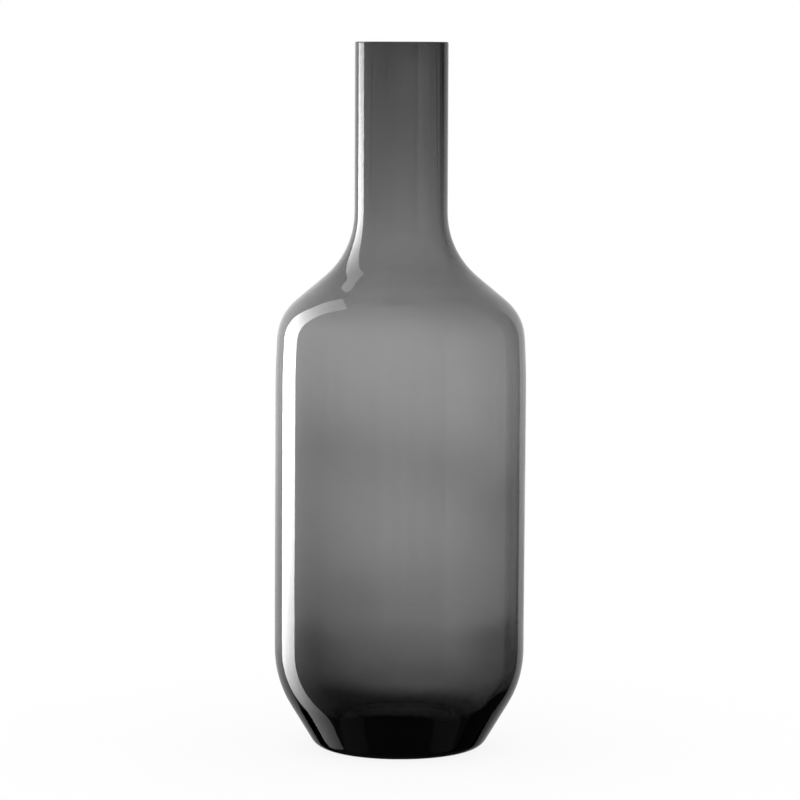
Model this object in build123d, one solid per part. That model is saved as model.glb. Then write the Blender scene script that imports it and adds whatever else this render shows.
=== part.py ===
from build123d import *
from math import atan2, pi, radians, tan
import os

# Bottle vase in smoke-grey glass: one piece, blown, with a rim that is cut, ground and polished.
# Millimetres, +Z up. The origin is the centre of the base, on the surface that the vase stands on.

# Outline, at the corners before they are rounded
HEIGHT = 390.0
NECK_DIAMETER = 51.2
BODY_DIAMETER = 138.3
SHOULDER_TAPER = 1.5
HEEL_DIAMETER = 91.8
SHOULDER_RISE = 35.0
SHOULDER_HEIGHT = 240.3
TAPER_HEIGHT = 209.0
BEND_HEIGHT = 38.5

# Roundings of the outline
NECK_ROOT_RADIUS = 45.6
SHOULDER_RADIUS = 27.6
TAPER_RADIUS = 400.0
BEND_RADIUS = 58.0
HEEL_RADIUS = 10.0

# Glass thickness: the neck is blown out least and stays thick, the shoulder is blown out most
RIM_WALL = 6.2
NECK_ROOT_WALL = 3.6
SHOULDER_WALL = 2.3
UPPER_WALL = 2.6
LOWER_WALL = 4.15
HEEL_WALL = 6.75
BASE_THICKNESS = 6.0

# Inside of the base, where the wall gathers into a thick round bowl
GATHER_RISE = 7.1
GATHER_RADIUS = 60.0
BOWL_RADIUS = 40.4

# Polished bevels along both edges of the flat rim
RIM_BEVEL = 0.8

# Underside: a flat ring to stand on, round a base that is pushed up in the middle
STANDING_RING_WIDTH = 6.0
KICK_HEIGHT = 3.0

# A cubic curve follows an arc if each handle is this share of the radius times the tangent of a quarter turn
ARC_HANDLE_SHARE = 4 / 3

# Two roundings take up no more than this share of the straight run between their corners
ROUNDED_RUN_SHARE = 0.95

# Worked out from the values above
neck_radius = NECK_DIAMETER / 2
body_radius = BODY_DIAMETER / 2
shoulder_radius = body_radius - SHOULDER_TAPER
heel_radius = HEEL_DIAMETER / 2
mouth_radius = neck_radius - RIM_WALL
neck_root_height = SHOULDER_HEIGHT + SHOULDER_RISE
floor_height = KICK_HEIGHT + BASE_THICKNESS

# Half turns of the outline, as tangents: a rounding of radius r starts r times this from its corner
shoulder_half_turn = tan(atan2(shoulder_radius - neck_radius, SHOULDER_RISE) / 2)
bevel_angle = atan2(body_radius - heel_radius, BEND_HEIGHT)
heel_half_turn = tan((pi / 2 - bevel_angle) / 2)

standing_ring_radius = heel_radius - HEEL_RADIUS * heel_half_turn
kick_radius = standing_ring_radius - STANDING_RING_WIDTH
bowl_corner_radius = heel_radius + floor_height * tan(bevel_angle) - HEEL_WALL


def outer_corners():
    """Corners of the outside from the heel to the neck, each with its rounding."""
    return [
        ((heel_radius, 0), HEEL_RADIUS),
        ((body_radius, BEND_HEIGHT), BEND_RADIUS),
        ((body_radius, TAPER_HEIGHT), TAPER_RADIUS),
        ((shoulder_radius, SHOULDER_HEIGHT), SHOULDER_RADIUS),
        ((neck_radius, neck_root_height), NECK_ROOT_RADIUS),
    ]


def rim_points():
    """The flat rim from the outside to the mouth, with a bevel along each edge."""
    return [
        (neck_radius, HEIGHT - RIM_BEVEL),
        (neck_radius - RIM_BEVEL, HEIGHT),
        (mouth_radius + RIM_BEVEL, HEIGHT),
        (mouth_radius, HEIGHT - RIM_BEVEL),
    ]


def inner_corners():
    """Corners of the inside from the neck to the bowl, each set in from the outside by the glass there."""
    neck_root = (neck_radius - NECK_ROOT_WALL, neck_root_height - NECK_ROOT_WALL * shoulder_half_turn)
    shoulder = (shoulder_radius - SHOULDER_WALL, SHOULDER_HEIGHT - SHOULDER_WALL * shoulder_half_turn)
    gather = (body_radius - LOWER_WALL, BEND_HEIGHT + GATHER_RISE)
    return [
        (neck_root, NECK_ROOT_RADIUS + NECK_ROOT_WALL),
        (shoulder, SHOULDER_RADIUS - SHOULDER_WALL),
        ((body_radius - UPPER_WALL, TAPER_HEIGHT), TAPER_RADIUS),
        (gather, GATHER_RADIUS),
        ((bowl_corner_radius, floor_height), BOWL_RADIUS),
    ]


def turn_at(before, corner, after):
    """How far the section turns at a corner, in radians."""
    return radians((corner - before).get_angle(after - corner))


def kept_shares(points, reaches):
    """How much of its reach each rounding keeps, so that two of them never overlap on the run between."""
    runs = [(after - before).length for before, after in zip(points, points[1:])]
    used = [before + after for before, after in zip(reaches, reaches[1:])]
    shares = [min(1, ROUNDED_RUN_SHARE * run / taken) for run, taken in zip(runs, used)]
    return [min(pair) for pair in zip(shares, shares[1:])]


def rounded_corner(before, corner, after, turn, reach):
    """A smooth curve across one corner of the section, as full as an arc that starts at this reach."""
    inward = (corner - before).normalized()
    outward = (after - corner).normalized()
    handle = ARC_HANDLE_SHARE * reach * tan(turn / 4) / tan(turn / 2)
    start = corner - inward * reach
    end = corner + outward * reach
    return Bezier(start, start + inward * handle, end - outward * handle, end)


def rounded_line(start, corners, end):
    """Straight runs from start to end, with a smooth curve across each corner between them."""
    points = [Vector(*point) for point in [start] + [corner for corner, radius in corners] + [end]]
    triples = list(zip(points, points[1:], points[2:]))
    turns = [turn_at(*triple) for triple in triples]
    reaches = [radius * tan(turn / 2) for (corner, radius), turn in zip(corners, turns)]
    shares = kept_shares(points, [0] + reaches + [0])
    last = points[0]
    for triple, turn, reach, share in zip(triples, turns, reaches, shares):
        rounding = rounded_corner(*triple, turn, reach * share)
        Line(last, rounding @ 0)
        last = rounding @ 1
    Line(last, points[-1])


def make_glass_vessel():
    """The wall's section on one side of the axis, turned once round it."""
    rim = rim_points()
    with BuildPart() as vessel:
        with BuildSketch(Plane.XZ):
            with BuildLine():
                rounded_line((kick_radius, 0), outer_corners(), rim[0])
                Polyline(*rim)
                rounded_line(rim[-1], inner_corners(), (0, floor_height))
                Line((0, floor_height), (0, KICK_HEIGHT))
                TangentArc((0, KICK_HEIGHT), (kick_radius, 0), tangent=(1, 0))
            make_face()
        revolve(axis=Axis.Z)
    return vessel.part


os.makedirs("parts", exist_ok=True)
export_step(make_glass_vessel(), "parts/glass_vessel.step")
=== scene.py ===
from math import atan2, cos, pi, radians, sin, tan

import bpy
import numpy as np
from mathutils import Matrix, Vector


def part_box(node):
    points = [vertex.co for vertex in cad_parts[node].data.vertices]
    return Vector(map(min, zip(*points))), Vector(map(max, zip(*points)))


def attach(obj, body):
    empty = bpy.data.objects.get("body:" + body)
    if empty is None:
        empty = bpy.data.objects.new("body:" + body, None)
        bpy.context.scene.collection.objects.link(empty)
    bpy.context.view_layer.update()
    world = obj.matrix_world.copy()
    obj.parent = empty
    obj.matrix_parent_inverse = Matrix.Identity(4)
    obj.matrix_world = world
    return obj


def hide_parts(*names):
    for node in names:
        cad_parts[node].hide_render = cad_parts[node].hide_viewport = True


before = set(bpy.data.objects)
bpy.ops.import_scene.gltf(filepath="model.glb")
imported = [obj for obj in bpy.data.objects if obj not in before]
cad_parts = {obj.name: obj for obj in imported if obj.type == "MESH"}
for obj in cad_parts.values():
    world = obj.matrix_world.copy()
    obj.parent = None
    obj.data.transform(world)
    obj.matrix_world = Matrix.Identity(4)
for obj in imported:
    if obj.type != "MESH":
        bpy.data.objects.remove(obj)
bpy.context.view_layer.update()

# Bottle vase in smoke-grey glass: one blown piece with a thick base and a cut, ground and polished rim.
# Metres, +Z up. The origin is the centre of the base, on the surface that the vase stands on.

# Outside of the vase, at the corners before they are rounded; height and widest radius come from the frame
_, vase_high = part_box("glass_vessel")
height = vase_high.z
body_radius = vase_high.x
NECK_RADIUS = 0.0256
SHOULDER_RADIUS = 0.06765
HEEL_RADIUS = 0.0459
NECK_ROOT_HEIGHT = 0.2753
SHOULDER_HEIGHT = 0.2403
TAPER_HEIGHT = 0.2090
BEND_HEIGHT = 0.0385

# Roundings of the outside
NECK_ROOT_ROUND = 0.0456
SHOULDER_ROUND = 0.0276
TAPER_ROUND = 0.4000
BEND_ROUND = 0.0580
HEEL_ROUND = 0.0100

# Glass thickness from the rim down
RIM_WALL = 0.0062
NECK_ROOT_WALL = 0.0036
SHOULDER_WALL = 0.0023
UPPER_WALL = 0.0026
LOWER_WALL = 0.00415
HEEL_WALL = 0.00675
BASE_THICKNESS = 0.0060

# Inside of the base
GATHER_RISE = 0.0071
GATHER_ROUND = 0.0600
BOWL_ROUND = 0.0404

# Rim and underside
RIM_ROUND = 0.0008
STANDING_RING_WIDTH = 0.0060
KICK_HEIGHT = 0.0030

# Blown glass has no sudden change of curve, so the section is evened out, away from rim and foot
EVENING_LENGTH = 0.0025
EVENING_REACH = 3
EVEN_FROM = 0.012
EVEN_TO = 0.380

# Thick and thin places of the wall: bearing from the front, height, spread of each, extra glass inside
THICK_PLACES = [
    (25, 0.255, 30, 0.012, 0.0005),
    (48, 0.236, 30, 0.016, 0.0007),
    (-30, 0.244, 25, 0.012, 0.0002),
    (-35, 0.172, 25, 0.014, 0.0007),
    (12, 0.168, 20, 0.010, 0.0003),
    (28, 0.160, 12, 0.011, 0.0004),
    (55, 0.143, 16, 0.012, 0.0006),
    (5, 0.124, 22, 0.016, -0.0005),
    (-32, 0.094, 18, 0.010, 0.0005),
    (-48, 0.061, 12, 0.012, 0.0017),
    (-24, 0.066, 22, 0.018, 0.0008),
    (-38, 0.036, 12, 0.006, 0.0010),
    (45, 0.063, 12, 0.009, 0.0012),
    (64, 0.060, 12, 0.010, 0.0016),
    (11, 0.039, 24, 0.008, -0.0012),
    (-10, 0.030, 30, 0.004, -0.0003),
    (-8, 0.018, 28, 0.009, 0.0025),
    (66, 0.028, 11, 0.006, 0.0005),
    (25, 0.372, 25, 0.012, -0.0006),
]

# Fine upright streaks of the inside, left from drawing the glass: waves round the vase, depths and fade
STREAK_WAVES = (13, 19, 29, 37, 43)
STREAK_SEED = 5
STREAK_WANDER = 8
STREAK_BODY_DEPTH = 0.00002
STREAK_NECK_DEPTH = 0.00002
STREAK_FADE = 0.040

# A ring pressed into the wall where the neck's curve meets the slope of the shoulder, lower on the inside.
# It goes round the front half and fades out by the cosine of the bearing.
RING_HEIGHT = 0.2535
RING_WIDTH = 0.0026
RING_DEPTH = 0.0003
RING_INSIDE_DROP = 0.0021
RING_FADE_START = -0.1
RING_FADE_LENGTH = 0.4

# Slow waves of the outside, deepest where the glass was worked most: height, spread and depth of each zone
WAVE_ZONES = [(0.262, 0.014, 0.000010), (0.028, 0.014, 0.000010), (0.15, 0.10, 0.000003)]
WAVE_SEED = 11
WAVE_COUNT = 14
WAVE_LENGTHS = (0.020, 0.060)
SLOPE_RADIUS = 0.045

# Where this unevenness sets in: distance from the axis, the foot and the rim, and the length of the fade
UNEVEN_FROM_AXIS = (0.004, 0.012)
UNEVEN_FROM_FOOT = (0.002, 0.006)
UNEVEN_FROM_RIM = (0.001, 0.012)

# The axis wanders a little, as on any blown piece: heights, and the shift to the right at each
LEAN_HEIGHTS = (0.00, 0.09, 0.14, 0.20, 0.25, 0.28, 0.39)
LEAN_SHIFTS = (-0.00015, -0.00015, 0.0, 0.00015, 0.00028, -0.00006, -0.00008)

# The glass: coloured grey all through, polished, with faint handling marks and a ground standing ring
GLASS_IOR = 1.5
SMOKE_COLOUR = (0.9, 0.9, 0.9, 1)
SMOKE_DENSITY = 2200.0
HANDLING_SCALE = 25.0
HANDLING_DETAIL = 4.0
HANDLING_RANGE = (0.45, 0.80)
HANDLED_ROUGHNESS = 0.02
GROUND_HEIGHT = 0.0004
GROUND_ROUGHNESS = 0.35

# Mesh of the vase: points round it and along its section, where they lie closer in the curves
SEGMENTS = 256
PROFILE_POINTS = 385
KICK_POINTS = 400
FINE_STEP = 0.0001
LEAST_ARC_STEPS = 8
LARGEST_TURN = radians(8)
LONGEST_STEP = 0.0042

# Camera, found from the outline in the photograph
CAMERA_PLACE = (-0.00026, -2.0000, 0.3960)
CAMERA_PITCH = radians(5.792)
CAMERA_ROLL = radians(0.236)
CAMERA_LENS = 163.87
SENSOR_WIDTH = 36.0

# Studio set round the vase, seen only in its reflections: upright cards, by their two edges in plan.
# Painted light: no lamp lights a card; each lamp's light is painted on the card as glow, given by the glow
# at the two edges, its height and its distance.
CARDS = {
    "strip_light": {
        "edges": [(-0.320, 0.0735), (-0.312, 0.255)],
        "heights": (-0.38, 0.79),
        "painted_lamps": [((12.0, 12.0), 0.19, 0.388), ((1.4, 1.4), 1.00, 0.98)],
    },
    "strip_spill": {
        "edges": [(-0.320, 0.0735), (-0.322, -0.097)],
        "heights": (-0.38, 0.79),
        "painted_lamps": [((0.90, 0.0), 0.19, 0.41), ((0.46, 0.46), 0.36, 0.22)],
    },
    "left_fill": {
        "edges": [(-0.322, -0.097), (-0.340, -0.420)],
        "heights": (-0.38, 0.79),
        "painted_lamps": [((0.46, 0.05), 0.36, 0.22)],
    },
    "backdrop_left": {
        "edges": [(-1.60, 1.00), (0.00, 1.00)],
        "heights": (-0.62, 1.65),
        "painted_lamps": [((1.22, 0.93), 0.33, 1.12)],
    },
    "backdrop_right": {
        "edges": [(0.00, 1.00), (1.40, 1.00)],
        "heights": (-0.80, 1.65),
        "painted_lamps": [((0.80, 0.36), 0.22, 1.22)],
    },
    "flag": {
        "edges": [(0.165, 0.105), (0.60, 0.195)],
        "heights": (-1.00, 2.00),
        "painted_lamps": [((0.012, 0.012), 0.00, 2.00)],
    },
    "low_flag": {
        "edges": [(0.80, 0.95), (1.60, 0.95)],
        "heights": (-1.00, 0.00),
        "painted_lamps": [],
    },
    "side_fill": {
        "edges": [(0.60, 0.195), (0.60, -0.715)],
        "heights": (-0.60, 1.00),
        "painted_lamps": [((0.35, 0.45), 0.20, 0.735)],
    },
}
CARD_ROWS = 120
PAINTED_LAMP_FALLOFF = 3

# Black tent round the set, the table at its bottom, and two boards that lie on the table. The table and the
# boards glow faintly, the boards more: painted light on them.
TENT_HALF_SIZE = 1.9
TABLE_GLOW = 0.03
BOARD_EDGES = (0.85, 1.45)
BOARD_REACH = 0.50
BOARD_LIFT = 0.02
BOARD_GLOW = 0.07

# Floor just under the vase. A share of its shading shows near the vase, by the kind of ray that sees it.
FLOOR_SIZE = 800.0
FLOOR_DROP = 0.0002
SHADOW_SHARES = {"Is Camera Ray": 0.12, "Is Transmission Ray": 0.92}
SHADOW_REACH = (0.12, 0.45)


def line_with_roundings(corners):
    """Finely stepped points along straight runs between the corners, each corner rounded by its own arc."""
    places = [np.array(place) for place, _ in corners]
    roundings = [rounding for _, rounding in corners]
    points = [places[0]]
    for before, corner, after, rounding in zip(places, places[1:], places[2:], roundings[1:]):
        arc = corner_arc(before, corner, after, rounding)
        points += straight_run(points[-1], arc[0])
        points += arc[1:]
    points += straight_run(points[-1], places[-1])
    return np.array(points)


def corner_arc(before, corner, after, rounding):
    """Finely stepped points of the arc across one corner."""
    inward = (corner - before) / np.linalg.norm(corner - before)
    outward = (after - corner) / np.linalg.norm(after - corner)
    turn = atan2(inward[0] * outward[1] - inward[1] * outward[0], inward @ outward)
    reach = rounding * tan(abs(turn) / 2)
    side = np.array([-inward[1], inward[0]]) * (1 if turn > 0 else -1)
    start = corner - inward * reach
    centre = start + side * rounding
    steps = max(LEAST_ARC_STEPS, int(rounding * abs(turn) / FINE_STEP))
    arc = [start]
    for step in range(1, steps + 1):
        angle = abs(turn) * step / steps
        arc.append(centre - side * rounding * cos(angle) + inward * rounding * sin(angle))
    return arc


def straight_run(start, end):
    """Finely stepped points after start, up to end."""
    steps = max(1, int(np.linalg.norm(end - start) / FINE_STEP))
    return [start + (end - start) * step / steps for step in range(1, steps + 1)]


def vase_profile():
    """The wall's section, from under the middle up the outside and down the inside to the floor."""
    bevel_angle = atan2(body_radius - HEEL_RADIUS, BEND_HEIGHT)
    standing_radius = HEEL_RADIUS - HEEL_ROUND * tan((pi / 2 - bevel_angle) / 2)
    kick_radius = standing_radius - STANDING_RING_WIDTH
    floor_height = KICK_HEIGHT + BASE_THICKNESS
    bowl_radius = HEEL_RADIUS + floor_height * tan(bevel_angle) - HEEL_WALL
    wall = line_with_roundings(outside_corners(kick_radius) + inside_corners(bowl_radius, floor_height))
    return np.vstack([kick_line(kick_radius)[:-1], evened_out(wall)])


def kick_line(kick_radius):
    """The pushed-up middle of the underside, from the axis to the standing ring."""
    curve = (kick_radius**2 + KICK_HEIGHT**2) / (2 * KICK_HEIGHT)
    turns = np.linspace(0, atan2(kick_radius, curve - KICK_HEIGHT), KICK_POINTS)
    return np.stack([curve * np.sin(turns), KICK_HEIGHT - curve * (1 - np.cos(turns))], axis=1)


def outside_corners(kick_radius):
    """Corners of the outside from the standing ring to the rim, each with its rounding."""
    return [
        ((kick_radius, 0), 0),
        ((HEEL_RADIUS, 0), HEEL_ROUND),
        ((body_radius, BEND_HEIGHT), BEND_ROUND),
        ((body_radius, TAPER_HEIGHT), TAPER_ROUND),
        ((SHOULDER_RADIUS, SHOULDER_HEIGHT), SHOULDER_ROUND),
        ((NECK_RADIUS, NECK_ROOT_HEIGHT), NECK_ROOT_ROUND),
        ((NECK_RADIUS, height), RIM_ROUND),
    ]


def inside_corners(bowl_radius, floor_height):
    """Corners of the inside from the rim to the middle of the floor, each with its rounding."""
    half_turn = tan(atan2(SHOULDER_RADIUS - NECK_RADIUS, NECK_ROOT_HEIGHT - SHOULDER_HEIGHT) / 2)
    neck_root = (NECK_RADIUS - NECK_ROOT_WALL, NECK_ROOT_HEIGHT - NECK_ROOT_WALL * half_turn)
    shoulder = (SHOULDER_RADIUS - SHOULDER_WALL, SHOULDER_HEIGHT - SHOULDER_WALL * half_turn)
    return [
        ((NECK_RADIUS - RIM_WALL, height), RIM_ROUND),
        (neck_root, NECK_ROOT_ROUND + NECK_ROOT_WALL),
        (shoulder, SHOULDER_ROUND - SHOULDER_WALL),
        ((body_radius - UPPER_WALL, TAPER_HEIGHT), TAPER_ROUND),
        ((body_radius - LOWER_WALL, BEND_HEIGHT + GATHER_RISE), GATHER_ROUND),
        ((bowl_radius, floor_height), BOWL_ROUND),
        ((0, floor_height), 0),
    ]


def evened_out(line):
    """The same line with its changes of curve spread over a short length, away from rim and foot."""
    reach = int(EVENING_REACH * EVENING_LENGTH / FINE_STEP)
    kernel = np.exp(-((np.arange(-reach, reach + 1) * FINE_STEP / EVENING_LENGTH) ** 2) / 2)
    kernel /= kernel.sum()
    padded = np.pad(line, ((reach, reach), (0, 0)), mode="edge")
    soft = np.stack([np.convolve(padded[:, axis], kernel, mode="valid") for axis in (0, 1)], axis=1)
    share = fade_in(line[:, 1], EVEN_FROM, EVENING_LENGTH) * fade_in(-line[:, 1], -EVEN_TO, EVENING_LENGTH)
    return line + (soft - line) * share[:, None]


def fade_in(distance, start, length):
    """Zero up to the start, one from a length after it, and a smooth step between."""
    share = np.clip((distance - start) / length, 0, 1)
    return share * share * (3 - 2 * share)


def spread_points(line, count):
    """Points of a finely stepped line, closest together where it turns."""
    steps = np.diff(line, axis=0)
    lengths = np.hypot(steps[:, 0], steps[:, 1])
    headings = np.unwrap(np.arctan2(steps[:, 1], steps[:, 0]))
    turns = np.abs(np.gradient(headings))
    effort = np.concatenate([[0], np.cumsum(lengths / LONGEST_STEP + turns / LARGEST_TURN)])
    wanted = np.linspace(0, effort[-1], count)
    return np.stack([np.interp(wanted, effort, line[:, 0]), np.interp(wanted, effort, line[:, 1])], axis=1)


def make_vase():
    """The glass as one closed skin, turned round the axis."""
    profile = spread_points(vase_profile(), PROFILE_POINTS)
    bottom = [(0, 0, profile[0, 1])]
    floor = [(0, 0, profile[-1, 1])]
    points = np.vstack([bottom, lathe_rings(profile), floor])
    mesh = bpy.data.meshes.new("blown_glass_vase")
    mesh.from_pydata(points.tolist(), [], lathe_faces(PROFILE_POINTS))
    mesh.shade_smooth()
    mesh.materials.append(smoke_glass())
    vase = bpy.data.objects.new("blown_glass_vase", mesh)
    bpy.context.scene.collection.objects.link(vase)
    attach(vase, "root")
    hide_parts("glass_vessel")


def lathe_rings(profile):
    """A ring of points for each point of the section but its two ends, with the wall's unevenness."""
    bearings = np.arange(SEGMENTS) * 2 * pi / SEGMENTS
    along = np.gradient(profile, axis=0)
    along /= np.linalg.norm(along, axis=1)[:, None]
    extra = unevenness(profile, bearings)[1:-1]
    radii = profile[1:-1, 0][:, None] + along[1:-1, 1][:, None] * extra
    heights = profile[1:-1, 1][:, None] - along[1:-1, 0][:, None] * extra
    shifts = np.interp(heights, LEAN_HEIGHTS, LEAN_SHIFTS)
    rings = np.stack([radii * np.sin(bearings) + shifts, -radii * np.cos(bearings), heights], axis=-1)
    return rings.reshape(-1, 3)


def lathe_faces(rows):
    """Quads between neighbouring rings, and triangles to the two points on the axis."""
    first, last = 0, 1 + (rows - 2) * SEGMENTS
    faces = []
    for segment in range(SEGMENTS):
        after = (segment + 1) % SEGMENTS
        faces.append((first, 1 + after, 1 + segment))
        for row in range(rows - 3):
            low, high = 1 + row * SEGMENTS, 1 + (row + 1) * SEGMENTS
            faces.append((low + segment, low + after, high + after, high + segment))
        ring = last - SEGMENTS
        faces.append((ring + segment, ring + after, last))
    return faces


def unevenness(profile, bearings):
    """Extra glass at each point of the wall, round the vase, by bearing from the front."""
    radii, heights = profile[:, 0][:, None], profile[:, 1][:, None]
    rim_row = int(np.argmax(profile[:, 1]))
    inside = (np.arange(len(profile)) > rim_row)[:, None]
    lining = thick_places(bearings, heights) + draw_streaks(bearings, heights)
    lining -= pressed_ring(bearings, heights + RING_INSIDE_DROP)
    lining *= fade_in(radii, *UNEVEN_FROM_AXIS)
    skin = pressed_ring(bearings, heights) + worked_waves(bearings, heights)
    skin *= fade_in(heights, *UNEVEN_FROM_FOOT)
    return np.where(inside, lining, skin) * fade_in(height - heights, *UNEVEN_FROM_RIM)


def thick_places(bearings, heights):
    """Soft thick and thin places of the inside."""
    extra = np.zeros((len(heights), len(bearings)))
    for bearing, place, spread, rise, glass in THICK_PLACES:
        off = (bearings - radians(bearing) + pi) % (2 * pi) - pi
        extra += glass * np.exp(-((off / radians(spread)) ** 2) / 2 - ((heights - place) / rise) ** 2 / 2)
    return extra


def draw_streaks(bearings, heights):
    """Fine upright streaks that wander a little on their way up, and fade out at shoulder and heel."""
    random = np.random.default_rng(STREAK_SEED)
    streaks = np.zeros((len(heights), len(bearings)))
    for waves in STREAK_WAVES:
        start = random.uniform(0, 2 * pi)
        streaks += np.cos(waves * bearings + start + random.normal(0, STREAK_WANDER) * heights)
    below_shoulder = fade_in(SHOULDER_HEIGHT - heights, 0, STREAK_FADE)
    body = STREAK_BODY_DEPTH * below_shoulder * fade_in(heights, BEND_HEIGHT, STREAK_FADE)
    neck = STREAK_NECK_DEPTH * fade_in(heights, NECK_ROOT_HEIGHT, STREAK_FADE)
    return (body + neck) * streaks


def pressed_ring(bearings, heights):
    """A low ridge with a shallow groove above it, round the front half."""
    off = (heights - RING_HEIGHT) / RING_WIDTH
    front = fade_in(np.cos(bearings), RING_FADE_START, RING_FADE_LENGTH)
    return -RING_DEPTH * off * np.exp(-(off**2) / 2) * front


def worked_waves(bearings, heights):
    """Waves in all directions, each as long as chosen where the vase is as wide as its shoulder's slope."""
    random = np.random.default_rng(WAVE_SEED)
    depth = np.zeros(heights.shape)
    for place, spread, zone_depth in WAVE_ZONES:
        depth += zone_depth * np.exp(-(((heights - place) / spread) ** 2) / 2)
    waves = np.zeros((len(heights), len(bearings)))
    for _ in range(WAVE_COUNT):
        turns = 2 * pi / random.uniform(*WAVE_LENGTHS)
        heading = random.uniform(0, 2 * pi)
        around = round(turns * cos(heading) * SLOPE_RADIUS)
        waves += np.cos(around * bearings + turns * sin(heading) * heights + random.uniform(0, 2 * pi))
    return depth * waves


def smoke_glass():
    """Clear polished glass, coloured grey all through."""
    material = bpy.data.materials.new("smoke_glass")
    material.use_nodes = True
    nodes, links = material.node_tree.nodes, material.node_tree.links
    glass = nodes["Principled BSDF"]
    glass.inputs["Base Color"].default_value = (1, 1, 1, 1)
    glass.inputs["IOR"].default_value = GLASS_IOR
    glass.inputs["Transmission Weight"].default_value = 1.0
    smoke = nodes.new("ShaderNodeVolumeAbsorption")
    smoke.inputs["Color"].default_value = SMOKE_COLOUR
    smoke.inputs["Density"].default_value = SMOKE_DENSITY
    links.new(smoke.outputs["Volume"], nodes["Material Output"].inputs["Volume"])
    links.new(polish(nodes, links), glass.inputs["Roughness"])
    return material


def polish(nodes, links):
    """Roughness of the glass: none, a little where it was handled, and matt on the ground standing ring."""
    place = nodes.new("ShaderNodeTexCoord").outputs["Object"]
    rougher = nodes.new("ShaderNodeMath")
    rougher.operation = "MAXIMUM"
    links.new(handling_marks(nodes, links, place), rougher.inputs[0])
    links.new(ground_ring(nodes, links, place), rougher.inputs[1])
    return rougher.outputs["Value"]


def handling_marks(nodes, links, place):
    """Faint cloudy marks, with clear glass between them."""
    clouds = nodes.new("ShaderNodeTexNoise")
    clouds.inputs["Scale"].default_value = HANDLING_SCALE
    clouds.inputs["Detail"].default_value = HANDLING_DETAIL
    marks = nodes.new("ShaderNodeMapRange")
    marks.inputs["From Min"].default_value, marks.inputs["From Max"].default_value = HANDLING_RANGE
    marks.inputs["To Max"].default_value = HANDLED_ROUGHNESS
    links.new(place, clouds.inputs["Vector"])
    links.new(clouds.outputs["Fac"], marks.inputs["Value"])
    return marks.outputs["Result"]


def ground_ring(nodes, links, place):
    """Matt at the level of the standing ring, and polished just above it."""
    axes = nodes.new("ShaderNodeSeparateXYZ")
    ground = nodes.new("ShaderNodeMapRange")
    ground.inputs["From Max"].default_value = GROUND_HEIGHT
    ground.inputs["To Min"].default_value = GROUND_ROUGHNESS
    ground.inputs["To Max"].default_value = 0.0
    links.new(place, axes.inputs["Vector"])
    links.new(axes.outputs["Z"], ground.inputs["Value"])
    return ground.outputs["Result"]


def stage_mesh(name, points, faces, material):
    """A flat-sided stage object."""
    mesh = bpy.data.meshes.new(name)
    mesh.from_pydata(points, [], faces)
    mesh.materials.append(material)
    thing = bpy.data.objects.new(name, mesh)
    bpy.context.scene.collection.objects.link(thing)
    return thing


def show_in_reflections_only(thing):
    """Hides a stage object from all but mirror reflections."""
    thing.visible_camera = False
    thing.visible_diffuse = False
    thing.visible_transmission = False
    thing.visible_volume_scatter = False
    thing.visible_shadow = False


def make_floor():
    """A plain pale floor, just under the standing ring."""
    half = FLOOR_SIZE / 2
    corners = [(-half, -half), (half, -half), (half, half), (-half, half)]
    points = [(x, y, -FLOOR_DROP) for x, y in corners]
    floor = stage_mesh("floor", points, [(0, 1, 2, 3)], pale_floor())
    floor.visible_glossy = False


def pale_floor():
    """White, with the shadow softened where it is seen directly or through the glass."""
    material = bpy.data.materials.new("pale_floor")
    material.use_nodes = True
    nodes, links = material.node_tree.nodes, material.node_tree.links
    nodes.clear()
    white = nodes.new("ShaderNodeBsdfDiffuse")
    white.inputs["Color"].default_value = (1, 1, 1, 1)
    glow = nodes.new("ShaderNodeEmission")
    seen = nodes.new("ShaderNodeLightPath")
    total = nodes.new("ShaderNodeMath")
    total.operation = "ADD"
    for term, (ray, shadow_share) in zip(total.inputs, SHADOW_SHARES.items()):
        share = nodes.new("ShaderNodeMath")
        share.operation = "MULTIPLY"
        links.new(seen.outputs[ray], share.inputs[0])
        links.new(white_share(nodes, links, shadow_share), share.inputs[1])
        links.new(share.outputs["Value"], term)
    mix = nodes.new("ShaderNodeMixShader")
    output = nodes.new("ShaderNodeOutputMaterial")
    links.new(total.outputs["Value"], mix.inputs["Fac"])
    links.new(white.outputs["BSDF"], mix.inputs[1])
    links.new(glow.outputs["Emission"], mix.inputs[2])
    links.new(mix.outputs["Shader"], output.inputs["Surface"])
    return material


def white_share(nodes, links, shadow_share):
    """One away from the vase, and less by the shadow's share close to it."""
    place = nodes.new("ShaderNodeNewGeometry")
    distance = nodes.new("ShaderNodeVectorMath")
    distance.operation = "LENGTH"
    fade = nodes.new("ShaderNodeMapRange")
    fade.interpolation_type = "SMOOTHSTEP"
    fade.inputs["From Min"].default_value, fade.inputs["From Max"].default_value = SHADOW_REACH
    fade.inputs["To Min"].default_value = 1 - shadow_share
    links.new(place.outputs["Position"], distance.inputs[0])
    links.new(distance.outputs["Value"], fade.inputs["Value"])
    return fade.outputs["Result"]


def make_studio():
    """A black tent with a table and two boards, painted with a faint glow of light, and the cards in it."""
    material = glowing_card()
    for name, card in CARDS.items():
        make_card(name, card, material)
    half = TENT_HALF_SIZE
    corners = [(x, y, z) for x in (-half, half) for y in (-half, half) for z in (-half, half)]
    sides = [(0, 1, 3, 2), (4, 6, 7, 5), (0, 4, 5, 1), (2, 3, 7, 6), (1, 5, 7, 3)]
    show_in_reflections_only(stage_mesh("black_tent", corners, sides, black_cloth()))
    # Painted light: the table's faint glow stands for the light that falls on it
    glowing_mesh("dim_table", corners[::2], [(0, 1, 3, 2)], [TABLE_GLOW] * 4, material)
    make_boards(material)


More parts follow.
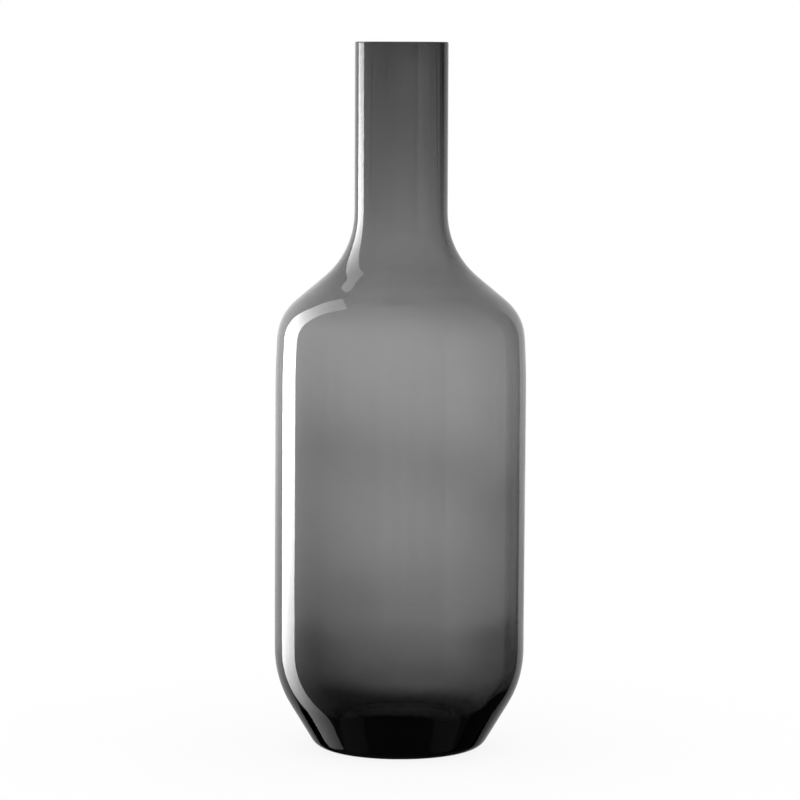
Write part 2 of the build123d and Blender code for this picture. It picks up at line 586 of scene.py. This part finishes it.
def make_card(name, card, material):
    """An upright card with each lamp's light painted on it as uneven glow."""
    rows = np.linspace(*card["heights"], CARD_ROWS + 1)
    glows = np.zeros((len(rows), 2))
    for edge_glows, painted_lamp_height, painted_lamp_distance in card["painted_lamps"]:
        # Painted light: each lamp's glow on the card, fading with distance from its height
        falloff = 1 / (1 + ((rows - painted_lamp_height) / painted_lamp_distance) ** 2) ** PAINTED_LAMP_FALLOFF
        glows += np.outer(falloff, edge_glows)
    (x0, y0), (x1, y1) = card["edges"]
    points = [point for z in rows for point in ((x0, y0, z), (x1, y1, z))]
    faces = [(2 * row, 2 * row + 1, 2 * row + 3, 2 * row + 2) for row in range(CARD_ROWS)]
    glowing_mesh(name, points, faces, glows.ravel(), material)


def make_boards(material):
    """Two boards that lie on the table, left and right, painted with a faint glow of light."""
    top = BOARD_LIFT - TENT_HALF_SIZE
    for name, side in (("left_board", -1), ("right_board", 1)):
        points = [(side * x, y, top) for x in BOARD_EDGES for y in (-BOARD_REACH, BOARD_REACH)]
        # Painted light: each board's glow stands for the light that falls on it
        glowing_mesh(name, points, [(0, 1, 3, 2)], [BOARD_GLOW] * 4, material)


def glowing_mesh(name, points, faces, glows, material):
    """A stage object that glows by the value kept at each of its points, seen only in reflections."""
    thing = stage_mesh(name, points, faces, material)
    thing.data.attributes.new("glow", "FLOAT", "POINT").data.foreach_set("value", glows)
    show_in_reflections_only(thing)


def glowing_card():
    """White light, as strong as the glow kept at the mesh's points."""
    material = bpy.data.materials.new("glowing_card")
    material.use_nodes = True
    nodes, links = material.node_tree.nodes, material.node_tree.links
    nodes.clear()
    glow = nodes.new("ShaderNodeAttribute")
    glow.attribute_name = "glow"
    emission = nodes.new("ShaderNodeEmission")
    output = nodes.new("ShaderNodeOutputMaterial")
    links.new(glow.outputs["Fac"], emission.inputs["Strength"])
    links.new(emission.outputs["Emission"], output.inputs["Surface"])
    return material


def black_cloth():
    """Dull black, which gives no light back."""
    material = bpy.data.materials.new("black_cloth")
    material.use_nodes = True
    cloth = material.node_tree.nodes["Principled BSDF"]
    cloth.inputs["Base Color"].default_value = (0, 0, 0, 1)
    cloth.inputs["Roughness"].default_value = 1.0
    cloth.inputs["Specular IOR Level"].default_value = 0.0
    return material


def make_world():
    """Even white surroundings."""
    world = bpy.data.worlds.new("studio")
    world.use_nodes = True
    background = world.node_tree.nodes["Background"]
    background.inputs["Color"].default_value = (1, 1, 1, 1)
    background.inputs["Strength"].default_value = 1.0
    bpy.context.scene.world = world


def make_camera():
    """The photograph's camera."""
    data = bpy.data.cameras.new("camera")
    data.lens = CAMERA_LENS
    data.sensor_width = SENSOR_WIDTH
    camera = bpy.data.objects.new("camera", data)
    bpy.context.scene.collection.objects.link(camera)
    tilt = Matrix.Rotation(pi / 2 - CAMERA_PITCH, 4, "X") @ Matrix.Rotation(CAMERA_ROLL, 4, "Z")
    camera.matrix_world = Matrix.Translation(CAMERA_PLACE) @ tilt
    bpy.context.scene.camera = camera


bpy.context.scene.view_settings.view_transform = "Standard"
make_camera()
make_world()
make_floor()
make_studio()
make_vase()
